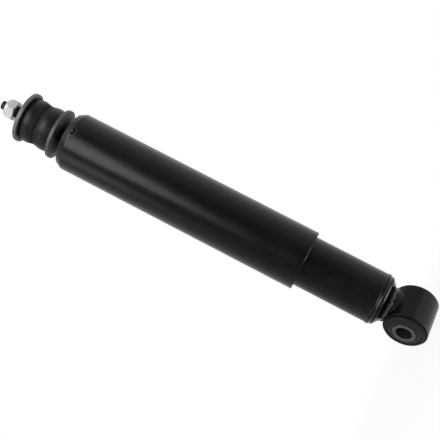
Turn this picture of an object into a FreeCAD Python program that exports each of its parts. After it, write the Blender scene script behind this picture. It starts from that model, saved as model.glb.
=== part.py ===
import FreeCAD, Part
import math
import os

# A twin-tube shock absorber with a welded eye below and a threaded stud above.
# Lengths are millimetres. The origin is the centre of the eye's bore, +Y runs along
# that bore, and +Z runs up the damper to the stud. The pose is the one at half stroke.

# Lower eye
EYE_OD = 55.5
EYE_WALL = 4.0
EYE_WIDTH = 48.0
EYE_EDGE = 0.8
SLEEVE_BORE = 20.2
SLEEVE_OD = 28.8
SLEEVE_LENGTH = 58.6
SLEEVE_EDGE = 0.6
BUSH_FLANGE_INSET = 1.2
BUSH_FLANGE_THICKNESS = 2.2
BUSH_COLLAR_WIDTH = 3.4
BUSH_COLLAR_SETBACK = 1.0
BUSH_RIB_SHARE = 0.25
NECK_HEIGHT = 3.3
NECK_DIAMETER = 42.0
NECK_FLARE = 1.5
NECK_ROOT_SHARE = 0.4

# Outer tube and its welded base
RESERVOIR_OD = 65.0
RESERVOIR_WALL = 2.5
RESERVOIR_ROLL = 5.0
ROLLED_LIP_WIDTH = 9.0
BASE_CAP_HEIGHT = 11.4
BASE_CAP_WALL = 4.0
BASE_FLAT_DIAMETER = 47.0
BASE_SHOULDER_INSET = 0.7
BASE_SHOULDER_HEIGHT = 7.0
BASE_SHOULDER_ROUND = 1.6
BASE_SKIRT = 7.0
WELD_WIDTH = 6.0
WELD_PROUD = 0.8
WELD_ROOT_INSET = 1.2

# Stroke, measured from the pose of the model
COMPRESSION_TRAVEL = 100.0
REBOUND_TRAVEL = 112.0
BUMP_GAP = 10.0
REBOUND_GAP = 3.0
COVER_GAP = 2.5

# Working cylinder and rod
CYLINDER_BORE = 45.0
CYLINDER_WALL = 1.75
ROD_DIAMETER = 20.0
SPIGOT_DIAMETER = 12.0
STUD_DIAMETER = 16.0
STUD_OVERRUN = 6.7
POINT_DIAMETER = 11.3
POINT_LENGTH = 7.0
POINT_CHAMFER = 1.0

# Foot valve
FOOT_FLANGE_OVERLAP = 2.3
FOOT_FLANGE_HEIGHT = 6.0
FOOT_RECESS_HEIGHT = 5.0
FOOT_SPIGOT_HEIGHT = 7.0
FOOT_SLOT_WIDTH = 8.0
FOOT_SLOTS = 4
FOOT_BOLT_DIAMETER = 8.0
FOOT_BOLT_HEAD_AF = 13.0
FOOT_BOLT_HEAD_HEIGHT = 5.5
FOOT_NUT_HEIGHT = 4.5
FOOT_SPRING_HEIGHT = 4.0

# Piston and its valves
PISTON_HEIGHT = 16.0
PISTON_GAP = 0.2
BAND_WIDTH = 9.0
BAND_THICKNESS = 1.6
PORT_DIAMETER = 3.6
OUTER_PORTS = 8
INNER_PORTS = 6
OUTER_PORT_CIRCLE = 34.8
INNER_PORT_CIRCLE = 22.6
PLATE_THICKNESS = 1.2
PLATE_OVERLAP = 1.1
GUIDE_LIP_HEIGHT = 1.5
GUIDE_LIP_WIDTH = 1.6
DISC_THICKNESS = 0.45
DISC_STEP = 0.9
DISC_COUNT = 4
PISTON_SPRING_HEIGHT = 2.4
CONE_SPRING_THICKNESS = 0.6
REBOUND_WIRE = 2.6
REBOUND_TURNS = 3.5
REBOUND_SPRING_LENGTH = 13.0
SPRING_SEAT_HEIGHT = 2.5
NUT_COLLAR_WALL = 3.0
PISTON_NUT_AF = 27.0
PISTON_NUT_BASE = 4.0
ROD_END_OVERRUN = 1.5
STOP_PLATE_HEIGHT = 3.0
STOP_PLATE_DIAMETER = 35.0
BUMPER_HEIGHT = 9.0
BUMPER_DIAMETER = 33.0

# Rod guide and seal
GUIDE_SPIGOT_HEIGHT = 8.0
GUIDE_FLANGE_HEIGHT = 8.0
GUIDE_BUSH_WALL = 2.0
GUIDE_BUSH_LENGTH = 13.0
GUIDE_POCKET_DEPTH = 2.5
GUIDE_DRAINS = 6
DRAIN_SHARE = 0.5
SEAL_HEIGHT = 6.0
SEAL_LIP_LENGTH = 2.0
RETAINER_HEIGHT = 2.5

# Dust tube and its cap
DUST_TUBE_OD = 76.5
DUST_TUBE_WALL = 1.5
DUST_NECK_INSET = 3.75
DUST_NECK_HEIGHT = 7.6
DUST_NECK_BEND = 4.0
DUST_CAP_WALL = 3.5
DUST_CAP_CORNER = 5.0
DUST_CAP_SKIRT = 6.0
DUST_CAP_RECESS = 0.7
DUST_COLLAR_BEND = 3.0
DUST_COLLAR_HEIGHT = 6.0
STAKE_COUNT = 3
STAKE_DIAMETER = 10.0
STAKE_WIDTH = 1.8
STAKE_DEPTH = 1.0
STAKE_ANGLE = -21.0

# Stud mounting: cups, rubber bushes and nut
CUP_OD = 65.7
CUP_HEIGHT = 5.2
CUP_PLATE = 3.0
CUP_LIP_WIDTH = 4.0
CUP_EDGE = 1.2
CUP_STANDOFF = 12.9
BUSH_OD = 57.4
LOWER_BUSH_HEIGHT = 24.6
UPPER_BUSH_HEIGHT = 21.8
BUSH_WAIST_INSET = 2.1
BUSH_SWELL_SHARE = 0.4
BUSH_ROUND = 9.0
BUSH_EDGE = 1.2
BUSH_TO_LIP = 2.3
NUT_AF = 24.0
NUT_HEIGHT = 14.3
NUT_HEX_HEIGHT = 10.6
NUT_CHAMFER = 1.2
NUT_DOME_ROUND = 2.8
NUT_TURN = 25.0
NUT_SLACK = 13.8
LOCK_RING_WALL = 1.5
LOCK_RING_HEIGHT = 3.0
LOCK_RING_COVER = 1.2

# Clearances
RUNNING_FIT = 0.05
LOOSE_FIT = 0.35
GUIDE_FIT = 0.3

ORIGIN = FreeCAD.Vector(0, 0, 0)
X_AXIS = FreeCAD.Vector(1, 0, 0)
Z_AXIS = FreeCAD.Vector(0, 0, 1)

# Radii that several pieces share
EYE_R = EYE_OD / 2
EYE_BORE_R = EYE_R - EYE_WALL
SLEEVE_R = SLEEVE_OD / 2
RESERVOIR_R = RESERVOIR_OD / 2
RESERVOIR_BORE_R = RESERVOIR_R - RESERVOIR_WALL
CYLINDER_R = CYLINDER_BORE / 2
CYLINDER_OUTER_R = CYLINDER_R + CYLINDER_WALL
ROD_R = ROD_DIAMETER / 2
SPIGOT_R = SPIGOT_DIAMETER / 2
STUD_R = STUD_DIAMETER / 2
PISTON_R = CYLINDER_R - PISTON_GAP
OUTER_PORT_R = OUTER_PORT_CIRCLE / 2
INNER_PORT_R = INNER_PORT_CIRCLE / 2
PLATE_OUTER_R = OUTER_PORT_R + PORT_DIAMETER / 2 + PLATE_OVERLAP
PLATE_INNER_R = OUTER_PORT_R - PORT_DIAMETER / 2 - PLATE_OVERLAP
DISC_R = INNER_PORT_R + PORT_DIAMETER / 2 + PLATE_OVERLAP
DISC_STACK = DISC_COUNT * DISC_THICKNESS
FOOT_BOLT_R = FOOT_BOLT_DIAMETER / 2
DUST_R = DUST_TUBE_OD / 2
CUP_R = CUP_OD / 2
BUSH_R = BUSH_OD / 2
STUD_HOLE_R = STUD_R + LOOSE_FIT

# Heights from the eye up to the foot valve
CAP_BOTTOM = EYE_R + NECK_HEIGHT
TUBE_BOTTOM = CAP_BOTTOM + BASE_CAP_HEIGHT
CAP_FLOOR = CAP_BOTTOM + BASE_CAP_WALL
FOOT_DISCS_BOTTOM = CAP_FLOOR + BUSH_EDGE + FOOT_NUT_HEIGHT
FOOT_PLATE_BOTTOM = FOOT_DISCS_BOTTOM + DISC_STACK
FOOT_SEAT = FOOT_PLATE_BOTTOM - FOOT_RECESS_HEIGHT
FOOT_SHOULDER = FOOT_SEAT + FOOT_FLANGE_HEIGHT
FOOT_TOP_FACE = FOOT_SHOULDER + FOOT_SPIGOT_HEIGHT
FOOT_HEAD = FOOT_TOP_FACE + PLATE_THICKNESS + FOOT_SPRING_HEIGHT
FOOT_TOP = FOOT_HEAD + FOOT_BOLT_HEAD_HEIGHT

# Heights up the piston
ROD_END = FOOT_TOP + BUMP_GAP + COMPRESSION_TRAVEL
PISTON_NUT_BOTTOM = ROD_END + ROD_END_OVERRUN
SPRING_BOTTOM = PISTON_NUT_BOTTOM + PISTON_NUT_BASE
SPRING_TOP = SPRING_BOTTOM + REBOUND_SPRING_LENGTH
DISCS_BOTTOM = SPRING_TOP + SPRING_SEAT_HEIGHT
PISTON_BOTTOM = DISCS_BOTTOM + DISC_STACK
PISTON_TOP = PISTON_BOTTOM + PISTON_HEIGHT
STOP_BOTTOM = PISTON_TOP + PLATE_THICKNESS + PISTON_SPRING_HEIGHT
STOP_TOP = STOP_BOTTOM + STOP_PLATE_HEIGHT
BUMPER_TOP = STOP_TOP + BUMPER_HEIGHT

# Heights of the guide, the tubes and the stud
GUIDE_BOTTOM = BUMPER_TOP + REBOUND_GAP + REBOUND_TRAVEL
CYLINDER_TOP = GUIDE_BOTTOM + GUIDE_SPIGOT_HEIGHT
GUIDE_TOP = CYLINDER_TOP + GUIDE_FLANGE_HEIGHT
SEAL_TOP = GUIDE_TOP + SEAL_HEIGHT
RETAINER_TOP = SEAL_TOP + RETAINER_HEIGHT
RESERVOIR_TOP = RETAINER_TOP + RESERVOIR_WALL
DUST_LIP = TUBE_BOTTOM + COMPRESSION_TRAVEL
DUST_CAP_UNDERSIDE = RESERVOIR_TOP + COVER_GAP + COMPRESSION_TRAVEL
DUST_CAP_TOP = DUST_CAP_UNDERSIDE + DUST_CAP_WALL
LOWER_CUP_BACK = DUST_CAP_TOP + CUP_STANDOFF
LOWER_BUSH_BOTTOM = LOWER_CUP_BACK + CUP_PLATE
BUSH_JOINT = LOWER_BUSH_BOTTOM + LOWER_BUSH_HEIGHT
UPPER_BUSH_TOP = BUSH_JOINT + UPPER_BUSH_HEIGHT
UPPER_CUP_BACK = UPPER_BUSH_TOP + CUP_PLATE
NUT_BOTTOM = UPPER_CUP_BACK + NUT_SLACK
STUD_TIP = NUT_BOTTOM + NUT_HEIGHT + STUD_OVERRUN


# Outlines and solids

def spot(corner):
    """A point of an outline, from its radius and height."""
    return FreeCAD.Vector(corner[0], 0, corner[1])


def unit(vector):
    """The same direction with a length of one."""
    return vector / vector.Length


def outline(corners):
    """A closed outline. A corner is (radius, height), with its rounding third where it has one."""
    count = len(corners)
    edges = []
    arrivals = []
    departures = []
    for i, corner in enumerate(corners):
        here = spot(corner)
        rounding = corner[2] if len(corner) == 3 else 0
        if rounding <= 0:
            arrivals.append(here)
            departures.append(here)
            continue
        back = unit(spot(corners[i - 1]) - here)
        on = unit(spot(corners[(i + 1) % count]) - here)
        half = back.getAngle(on) / 2
        reach = rounding / math.tan(half)
        middle = here + unit(back + on) * (rounding / math.sin(half) - rounding)
        arrivals.append(here + back * reach)
        departures.append(here + on * reach)
        edges.append(Part.Arc(arrivals[i], middle, departures[i]).toShape())
    for i in range(count):
        start = departures[i]
        end = arrivals[(i + 1) % count]
        if start.distanceToPoint(end) > 1e-6:
            edges.append(Part.LineSegment(start, end).toShape())
    return Part.Wire(Part.__sortEdges__(edges))


def turned(corners):
    """A piece turned about the damper's axis from a closed outline."""
    solid = Part.Face(outline(corners)).revolve(ORIGIN, Z_AXIS, 360)
    if solid.Volume < 0:
        solid.reverse()
    return solid


def pressed(skin, wall, edge=0):
    """A piece pressed from sheet: the skin's path is thickened to its left and turned."""
    count = len(skin)
    points = [spot(corner) for corner in skin]
    runs = [unit(points[i + 1] - points[i]) for i in range(count - 1)]
    lefts = [FreeCAD.Vector(-run.z, 0, run.x) for run in runs]
    inner = []
    for i in range(count):
        before = lefts[max(i - 1, 0)]
        after = lefts[min(i, count - 2)]
        across = unit(before + after)
        place = points[i] + across * (wall / across.dot(after))
        rounding = skin[i][2] if len(skin[i]) == 3 else 0
        if rounding:
            turn = runs[i - 1].x * runs[i].z - runs[i - 1].z * runs[i].x
            rounding = rounding - wall if turn > 0 else rounding + wall
        inner.append((place.x, place.z, rounding))
    outer = list(skin)
    for side in (outer, inner):
        for end in (0, count - 1):
            side[end] = (side[end][0], side[end][1], edge)
    return turned(outer + inner[::-1])


def ring(inner_r, outer_r, bottom, top, edge=0):
    """A plain ring, with all its edges rounded alike."""
    return turned([
        (inner_r, bottom, edge),
        (outer_r, bottom, edge),
        (outer_r, top, edge),
        (inner_r, top, edge),
    ])


def along_bore(solid):
    """A piece that was turned about Z, laid along the eye's bore."""
    return solid.rotate(ORIGIN, X_AXIS, -90)


def hexagon(across_flats, bottom, top):
    """A six-sided bar about the damper's axis, with a corner towards +X."""
    corner_r = across_flats / math.sqrt(3)
    corners = []
    for side in range(7):
        angle = math.radians(60 * side)
        corners.append(FreeCAD.Vector(corner_r * math.cos(angle), corner_r * math.sin(angle), bottom))
    face = Part.Face(Part.makePolygon(corners))
    return face.extrude(Z_AXIS * (top - bottom))


def drilled(solid, circle_r, diameter, count, bottom, top):
    """The piece with a circle of straight holes through it."""
    for hole in range(count):
        angle = 2 * math.pi * hole / count
        place = FreeCAD.Vector(circle_r * math.cos(angle), circle_r * math.sin(angle), bottom)
        solid = solid.cut(Part.makeCylinder(diameter / 2, top - bottom, place, Z_AXIS))
    return solid


def disc_stack(bottom, bore_r, narrowest_first):
    """A stack of flexible valve discs that step down in diameter away from their ports."""
    discs = []
    for level in range(DISC_COUNT):
        steps = DISC_COUNT - 1 - level if narrowest_first else level
        low = bottom + level * DISC_THICKNESS
        discs.append(ring(bore_r, DISC_R - steps * DISC_STEP, low, low + DISC_THICKNESS))
    return Part.makeCompound(discs)


def cone_spring(wide_r, narrow_r, bottom, top):
    """A thin cone spring that stands on its wide edge."""
    return turned([
        (wide_r, bottom),
        (narrow_r, top - CONE_SPRING_THICKNESS),
        (narrow_r, top),
        (wide_r, bottom + CONE_SPRING_THICKNESS),
    ])


# The eye

def eye_sleeve():
    """The steel tube that the bracket's bolt clamps."""
    half = SLEEVE_LENGTH / 2
    return along_bore(ring(SLEEVE_BORE / 2, SLEEVE_R, -half, half, SLEEVE_EDGE))


def eye_bush():
    """The rubber between sleeve and eye, with a ribbed flange over each face of the eye."""
    bore_r = SLEEVE_R + RUNNING_FIT
    flange_r = EYE_R - BUSH_FLANGE_INSET
    collar_r = bore_r + BUSH_COLLAR_WIDTH
    face = EYE_WIDTH / 2
    rim = face + BUSH_FLANGE_THICKNESS
    collar = SLEEVE_LENGTH / 2 - BUSH_COLLAR_SETBACK
    cone_r = collar_r + BUSH_COLLAR_WIDTH
    room = flange_r - BUSH_FLANGE_THICKNESS / 2 - cone_r
    rib_r = cone_r + room / 2
    rib = room * BUSH_RIB_SHARE
    one_end = [
        (EYE_BORE_R, face),
        (flange_r, face),
        (flange_r, rim, BUSH_FLANGE_THICKNESS / 2),
        (rib_r + rib, rim),
        (rib_r + rib / 2, rim + rib),
        (rib_r - rib / 2, rim + rib),
        (rib_r - rib, rim),
        (cone_r, rim),
        (collar_r, collar, BUSH_EDGE),
        (bore_r, collar),
    ]
    other_end = [(corner[0], -corner[1], *corner[2:]) for corner in reversed(one_end)]
    return along_bore(turned(one_end + other_end))


def eye_ring():
    """The forged eye and the flared neck that is welded under the base cap."""
    half = EYE_WIDTH / 2
    neck_r = NECK_DIAMETER / 2
    barrel = along_bore(turned([
        (0, -half),
        (EYE_R, -half, EYE_EDGE),
        (EYE_R, half, EYE_EDGE),
        (0, half),
    ]))
    neck = turned([
        (0, 0),
        (neck_r, 0),
        (neck_r, CAP_BOTTOM - NECK_HEIGHT / 2),
        (neck_r + NECK_FLARE, CAP_BOTTOM),
        (0, CAP_BOTTOM),
    ])
    blank = barrel.fuse(neck).removeSplitter()
    saddle = [edge for edge in blank.Edges if edge.Curve.TypeId == "Part::GeomBSplineCurve"]
    bore = Part.makeCylinder(EYE_BORE_R, 2 * EYE_WIDTH, FreeCAD.Vector(0, 0, -EYE_WIDTH), Z_AXIS)
    return blank.makeFillet(NECK_HEIGHT * NECK_ROOT_SHARE, saddle).cut(along_bore(bore))


# The outer tube and its base

def base_cap():
    """The domed base, its skirt inside the tube and the weld bead around the joint."""
    flat_r = BASE_FLAT_DIAMETER / 2
    shoulder_r = RESERVOIR_R - BASE_SHOULDER_INSET
    shoulder = CAP_BOTTOM + BASE_SHOULDER_HEIGHT
    skirt_r = CYLINDER_OUTER_R + FOOT_FLANGE_OVERLAP + GUIDE_FIT
    ledge_r = foot_recess_r()
    bead = ring_weld()
    cap = turned([
        (0, CAP_BOTTOM),
        (flat_r, CAP_BOTTOM, BASE_CAP_WALL),
        (shoulder_r, shoulder, BASE_SHOULDER_ROUND),
        weld_root(),
        (RESERVOIR_R, TUBE_BOTTOM),
        (RESERVOIR_BORE_R, TUBE_BOTTOM),
        (RESERVOIR_BORE_R, TUBE_BOTTOM + BASE_SKIRT),
        (skirt_r, TUBE_BOTTOM + BASE_SKIRT),
        (skirt_r, FOOT_SEAT),
        (ledge_r, FOOT_SEAT),
        (ledge_r, CAP_FLOOR),
        (0, CAP_FLOOR),
    ])
    return cap.fuse(bead).removeSplitter()


def weld_root():
    """Radius and height at which the weld bead leaves the base cap."""
    return RESERVOIR_R - WELD_ROOT_INSET, TUBE_BOTTOM - WELD_WIDTH / 3


def ring_weld():
    """The bead that joins tube and base, a low arch in section."""
    root = spot(weld_root())
    crest = spot((RESERVOIR_R + WELD_PROUD, root.z + WELD_WIDTH / 2))
    end = spot((RESERVOIR_R, root.z + WELD_WIDTH))
    corner = spot((RESERVOIR_R, TUBE_BOTTOM))
    arch = Part.Arc(root, crest, end).toShape()
    sides = Part.makePolygon([end, corner, root]).Edges
    bead = Part.Face(Part.Wire([arch, *sides])).revolve(ORIGIN, Z_AXIS, 360)
    if bead.Volume < 0:
        bead.reverse()
    return bead


def reservoir_tube():
    """The outer tube, rolled in over the seal at its top."""
    return pressed([
        (RESERVOIR_R, TUBE_BOTTOM),
        (RESERVOIR_R, RESERVOIR_TOP, RESERVOIR_ROLL),
        (RESERVOIR_R - ROLLED_LIP_WIDTH, RESERVOIR_TOP),
    ], RESERVOIR_WALL)


def cylinder_tube():
    """The working cylinder between foot valve and rod guide."""
    return ring(CYLINDER_R, CYLINDER_OUTER_R, FOOT_SHOULDER, CYLINDER_TOP)


# The foot valve

def foot_recess_r():
    """Radius of the hollow under the foot valve, wide enough for the outer ports."""
    return PLATE_OUTER_R


def foot_valve_body():
    """The foot valve, with slots to the reservoir, two circles of ports and a lip around its plate."""
    flange_r = CYLINDER_OUTER_R + FOOT_FLANGE_OVERLAP
    lip_r = PLATE_OUTER_R + GUIDE_FIT
    recess_r = foot_recess_r()
    body = turned([
        (recess_r, FOOT_SEAT),
        (flange_r, FOOT_SEAT),
        (flange_r, FOOT_SHOULDER),
        (CYLINDER_R, FOOT_SHOULDER),
        (CYLINDER_R, FOOT_TOP_FACE + GUIDE_LIP_HEIGHT),
        (lip_r, FOOT_TOP_FACE + GUIDE_LIP_HEIGHT),
        (lip_r, FOOT_TOP_FACE),
        (FOOT_BOLT_R, FOOT_TOP_FACE),
        (FOOT_BOLT_R, FOOT_PLATE_BOTTOM),
        (recess_r, FOOT_PLATE_BOTTOM),
    ])
    for slot in range(FOOT_SLOTS):
        cutter = Part.makeBox(
            2 * flange_r,
            FOOT_SLOT_WIDTH,
            FOOT_RECESS_HEIGHT,
            FreeCAD.Vector(0, -FOOT_SLOT_WIDTH / 2, FOOT_SEAT),
        )
        cutter.rotate(ORIGIN, Z_AXIS, 360 * slot / FOOT_SLOTS)
        body = body.cut(cutter)
    body = drilled(body, OUTER_PORT_R, PORT_DIAMETER, OUTER_PORTS, FOOT_SEAT, FOOT_TOP_FACE)
    return drilled(body, INNER_PORT_R, PORT_DIAMETER, INNER_PORTS, FOOT_SEAT, FOOT_TOP_FACE)


def foot_check_plate():
    """The plate that lifts off the outer ports to refill the cylinder."""
    return ring(PLATE_INNER_R, PLATE_OUTER_R, FOOT_TOP_FACE, FOOT_TOP_FACE + PLATE_THICKNESS)


def foot_check_spring():
    """The light cone spring that holds the foot valve's plate down."""
    head_r = FOOT_BOLT_HEAD_AF / 2
    wide_r = PLATE_OUTER_R - PLATE_OVERLAP
    return cone_spring(wide_r, head_r, FOOT_TOP_FACE + PLATE_THICKNESS, FOOT_HEAD)


def foot_valve_bolt():
    """The shouldered bolt through the foot valve."""
    shoulder_r = FOOT_BOLT_HEAD_AF / 2 - GUIDE_FIT
    shank = turned([
        (0, CAP_FLOOR + BUSH_EDGE),
        (FOOT_BOLT_R, CAP_FLOOR + BUSH_EDGE),
        (FOOT_BOLT_R, FOOT_TOP_FACE),
        (shoulder_r, FOOT_TOP_FACE),
        (shoulder_r, FOOT_HEAD),
        (FOOT_BOLT_HEAD_AF * 0.75, FOOT_HEAD),
        (FOOT_BOLT_HEAD_AF * 0.75, FOOT_HEAD + PLATE_THICKNESS),
        (0, FOOT_HEAD + PLATE_THICKNESS),
    ])
    head = hexagon(FOOT_BOLT_HEAD_AF, FOOT_HEAD, FOOT_TOP)
    return shank.fuse(head).removeSplitter()


def foot_valve_nut():
    """The nut that clamps the compression discs."""
    bottom = FOOT_DISCS_BOTTOM - FOOT_NUT_HEIGHT
    blank = hexagon(FOOT_BOLT_HEAD_AF, bottom, FOOT_DISCS_BOTTOM)
    return blank.cut(Part.makeCylinder(FOOT_BOLT_R, FOOT_NUT_HEIGHT, FreeCAD.Vector(0, 0, bottom), Z_AXIS))


# The rod and the piston

def piston_rod():
    """The rod from its spigot under the piston to the point of its stud."""
    point_r = POINT_DIAMETER / 2
    point_bottom = STUD_TIP - POINT_LENGTH
    return turned([
        (0, ROD_END),
        (SPIGOT_R - POINT_CHAMFER, ROD_END),
        (SPIGOT_R, ROD_END + POINT_CHAMFER),
        (SPIGOT_R, STOP_TOP),
        (ROD_R, STOP_TOP),
        (ROD_R, LOWER_CUP_BACK),
        (STUD_R, LOWER_CUP_BACK),
        (STUD_R, point_bottom - (STUD_R - point_r)),
        (point_r, point_bottom),
        (point_r, STUD_TIP - POINT_CHAMFER),
        (point_r - POINT_CHAMFER, STUD_TIP),
        (0, STUD_TIP),
    ])


def piston():
    """The piston, with its band groove, two circles of ports and a lip around its plate."""
    groove_r = PISTON_R - BAND_THICKNESS
    groove_bottom = (PISTON_BOTTOM + PISTON_TOP - BAND_WIDTH) / 2
    groove_top = groove_bottom + BAND_WIDTH
    lip_r = PLATE_OUTER_R + GUIDE_FIT
    body = turned([
        (SPIGOT_R, PISTON_BOTTOM),
        (PISTON_R, PISTON_BOTTOM),
        (PISTON_R, groove_bottom),
        (groove_r, groove_bottom),
        (groove_r, groove_top),
        (PISTON_R, groove_top),
        (PISTON_R, PISTON_TOP + GUIDE_LIP_HEIGHT),
        (lip_r, PISTON_TOP + GUIDE_LIP_HEIGHT),
        (lip_r, PISTON_TOP),
        (SPIGOT_R, PISTON_TOP),
    ])
    body = drilled(body, OUTER_PORT_R, PORT_DIAMETER, OUTER_PORTS, PISTON_BOTTOM, PISTON_TOP)
    return drilled(body, INNER_PORT_R, PORT_DIAMETER, INNER_PORTS, PISTON_BOTTOM, PISTON_TOP)


def piston_band():
    """The sliding band in the piston's groove."""
    middle = (PISTON_BOTTOM + PISTON_TOP) / 2
    half = BAND_WIDTH / 2 - RUNNING_FIT
    inner_r = PISTON_R - BAND_THICKNESS + RUNNING_FIT
    return ring(inner_r, CYLINDER_R - RUNNING_FIT, middle - half, middle + half)


def piston_check_plate():
    """The plate that lifts off the piston's outer ports in compression."""
    return ring(PLATE_INNER_R, PLATE_OUTER_R, PISTON_TOP, PISTON_TOP + PLATE_THICKNESS)


def piston_check_spring():
    """The cone spring that holds the piston's plate down."""
    wide_r = PLATE_OUTER_R - PLATE_OVERLAP
    return cone_spring(wide_r, ROD_R, PISTON_TOP + PLATE_THICKNESS, STOP_BOTTOM)


def rebound_stop_plate():
    """The plate between piston and rod shoulder, with a hub down to the piston."""
    hub_r = ROD_R - GUIDE_FIT
    return turned([
        (SPIGOT_R, PISTON_TOP),
        (hub_r, PISTON_TOP),
        (hub_r, STOP_BOTTOM),
        (STOP_PLATE_DIAMETER / 2, STOP_BOTTOM),
        (STOP_PLATE_DIAMETER / 2, STOP_TOP),
        (SPIGOT_R, STOP_TOP),
    ])


def rebound_bumper():
    """The elastic ring that meets the rod guide at full stretch."""
    return turned([
        (ROD_R, STOP_TOP),
        (BUMPER_DIAMETER / 2, STOP_TOP, BUSH_EDGE),
        (BUMPER_DIAMETER / 2, BUMPER_TOP, BUMPER_HEIGHT / 3),
        (ROD_R, BUMPER_TOP),
    ])


def nut_collar_r():
    """Radius of the piston nut's collar, which guides the rebound spring."""
    return SPIGOT_R + NUT_COLLAR_WALL


def piston_nut():
    """The long nut that clamps the piston's stack on the rod."""
    base = hexagon(PISTON_NUT_AF, PISTON_NUT_BOTTOM, SPRING_BOTTOM)
    collar = ring(SPIGOT_R, nut_collar_r(), PISTON_NUT_BOTTOM, DISCS_BOTTOM)
    bore = Part.makeCylinder(SPIGOT_R, PISTON_NUT_BASE, FreeCAD.Vector(0, 0, PISTON_NUT_BOTTOM), Z_AXIS)
    return base.cut(bore).fuse(collar).removeSplitter()


def rebound_spring_seat():
    """The stepped washer between rebound spring and discs."""
    bore_r = nut_collar_r() + GUIDE_FIT
    return turned([
        (bore_r, SPRING_TOP),
        (bore_r + REBOUND_WIRE + 2 * GUIDE_FIT, SPRING_TOP),
        (DISC_R - DISC_STEP, DISCS_BOTTOM - SPRING_SEAT_HEIGHT / 3),
        (DISC_R - DISC_STEP, DISCS_BOTTOM),
        (bore_r, DISCS_BOTTOM),
    ])


def rebound_spring():
    """The coil that loads the rebound discs."""
    coil_r = nut_collar_r() + GUIDE_FIT + REBOUND_WIRE / 2
    rise = REBOUND_SPRING_LENGTH - REBOUND_WIRE
    helix = Part.makeHelix(rise / REBOUND_TURNS, rise, coil_r)
    section = Part.makeCircle(REBOUND_WIRE / 2, FreeCAD.Vector(coil_r, 0, 0), FreeCAD.Vector(0, 1, 0))
    coil = Part.Wire(helix).makePipeShell([Part.Wire(section)], True, True)
    return coil.translate(Z_AXIS * (SPRING_BOTTOM + REBOUND_WIRE / 2))


# The rod guide and the seal

def rod_guide():
    """The guide that closes the cylinder, with an oil pocket on top and drains to the reservoir."""
    bore_r = ROD_R + GUIDE_BUSH_WALL
    drain_r = (CYLINDER_OUTER_R + RESERVOIR_BORE_R) / 2
    drain = (RESERVOIR_BORE_R - CYLINDER_OUTER_R) * DRAIN_SHARE
    guide = turned([
        (bore_r, GUIDE_BOTTOM),
        (CYLINDER_R, GUIDE_BOTTOM),
        (CYLINDER_R, CYLINDER_TOP),
        (RESERVOIR_BORE_R, CYLINDER_TOP),
        (RESERVOIR_BORE_R, GUIDE_TOP),
        (drain_r, GUIDE_TOP),
        (drain_r, GUIDE_TOP - GUIDE_POCKET_DEPTH),
        (bore_r, GUIDE_TOP - GUIDE_POCKET_DEPTH),
    ])
    return drilled(guide, drain_r, drain, GUIDE_DRAINS, CYLINDER_TOP, GUIDE_TOP)


def guide_bush():
    """The lined bush that the rod slides in."""
    top = GUIDE_TOP - GUIDE_POCKET_DEPTH
    return ring(ROD_R + RUNNING_FIT, ROD_R + GUIDE_BUSH_WALL, top - GUIDE_BUSH_LENGTH, top)


def rod_seal():
    """The rubber seal, with an oil lip below and a dust lip above."""
    lip_r = ROD_R + RUNNING_FIT
    waist_r = lip_r + SEAL_LIP_LENGTH
    middle = (GUIDE_TOP + SEAL_TOP) / 2
    return turned([
        (lip_r, GUIDE_TOP - SEAL_LIP_LENGTH / 2),
        (waist_r, GUIDE_TOP - SEAL_LIP_LENGTH / 2),
        (waist_r + SEAL_LIP_LENGTH, GUIDE_TOP),
        (RESERVOIR_BORE_R, GUIDE_TOP),
        (RESERVOIR_BORE_R, SEAL_TOP),
        (waist_r + SEAL_LIP_LENGTH, SEAL_TOP),
        (waist_r, SEAL_TOP + SEAL_LIP_LENGTH / 2),
        (lip_r, SEAL_TOP + SEAL_LIP_LENGTH / 2),
        (lip_r + SEAL_LIP_LENGTH / 4, middle),
    ])


def seal_retainer():
    """The steel washer that the rolled end presses on the seal."""
    bore_r = ROD_R + RUNNING_FIT + 2 * SEAL_LIP_LENGTH + GUIDE_FIT
    roll_r = RESERVOIR_ROLL - RESERVOIR_WALL
    return turned([
        (bore_r, SEAL_TOP),
        (RESERVOIR_BORE_R, SEAL_TOP),
        (RESERVOIR_BORE_R, RETAINER_TOP, roll_r),
        (bore_r, RETAINER_TOP),
    ])


# The dust tube

def neck_line():
    """Foot and top of the dust tube's tapered neck."""
    top = DUST_CAP_TOP + DUST_CAP_RECESS
    return (DUST_R, top - DUST_NECK_HEIGHT), (DUST_R - DUST_NECK_INSET, top)


def neck_slope():
    """Angle between the tapered neck and the damper's axis."""
    return math.atan2(DUST_NECK_INSET, DUST_NECK_HEIGHT)


def neck_inside(height):
    """Radius inside the tapered neck at a height."""
    foot = neck_line()[0]
    return foot[0] - (height - foot[1]) * math.tan(neck_slope()) - DUST_TUBE_WALL / math.cos(neck_slope())


def stake_marks():
    """Cutters for the half-round punch marks that lock the dust tube on its cap."""
    foot = FreeCAD.Vector(neck_line()[0][0], 0, neck_line()[0][1])
    start = foot - X_AXIS * STAKE_DEPTH
    outer_r = STAKE_DIAMETER / 2
    outer = Part.makeCylinder(outer_r, 2 * STAKE_DEPTH, start, X_AXIS)
    inner = Part.makeCylinder(outer_r - STAKE_WIDTH, 2 * STAKE_DEPTH, start, X_AXIS)
    upper = Part.makeBox(2 * STAKE_DEPTH, STAKE_DIAMETER, outer_r, start - FreeCAD.Vector(0, outer_r, 0))
    mark = outer.cut(inner).cut(upper)
    mark.rotate(foot, FreeCAD.Vector(0, -1, 0), math.degrees(neck_slope()) / 2)
    mark.rotate(ORIGIN, Z_AXIS, STAKE_ANGLE)
    marks = []
    for turn in range(STAKE_COUNT):
        marks.append(mark.copy().rotate(ORIGIN, Z_AXIS, 360 * turn / STAKE_COUNT))
    return marks


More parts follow.
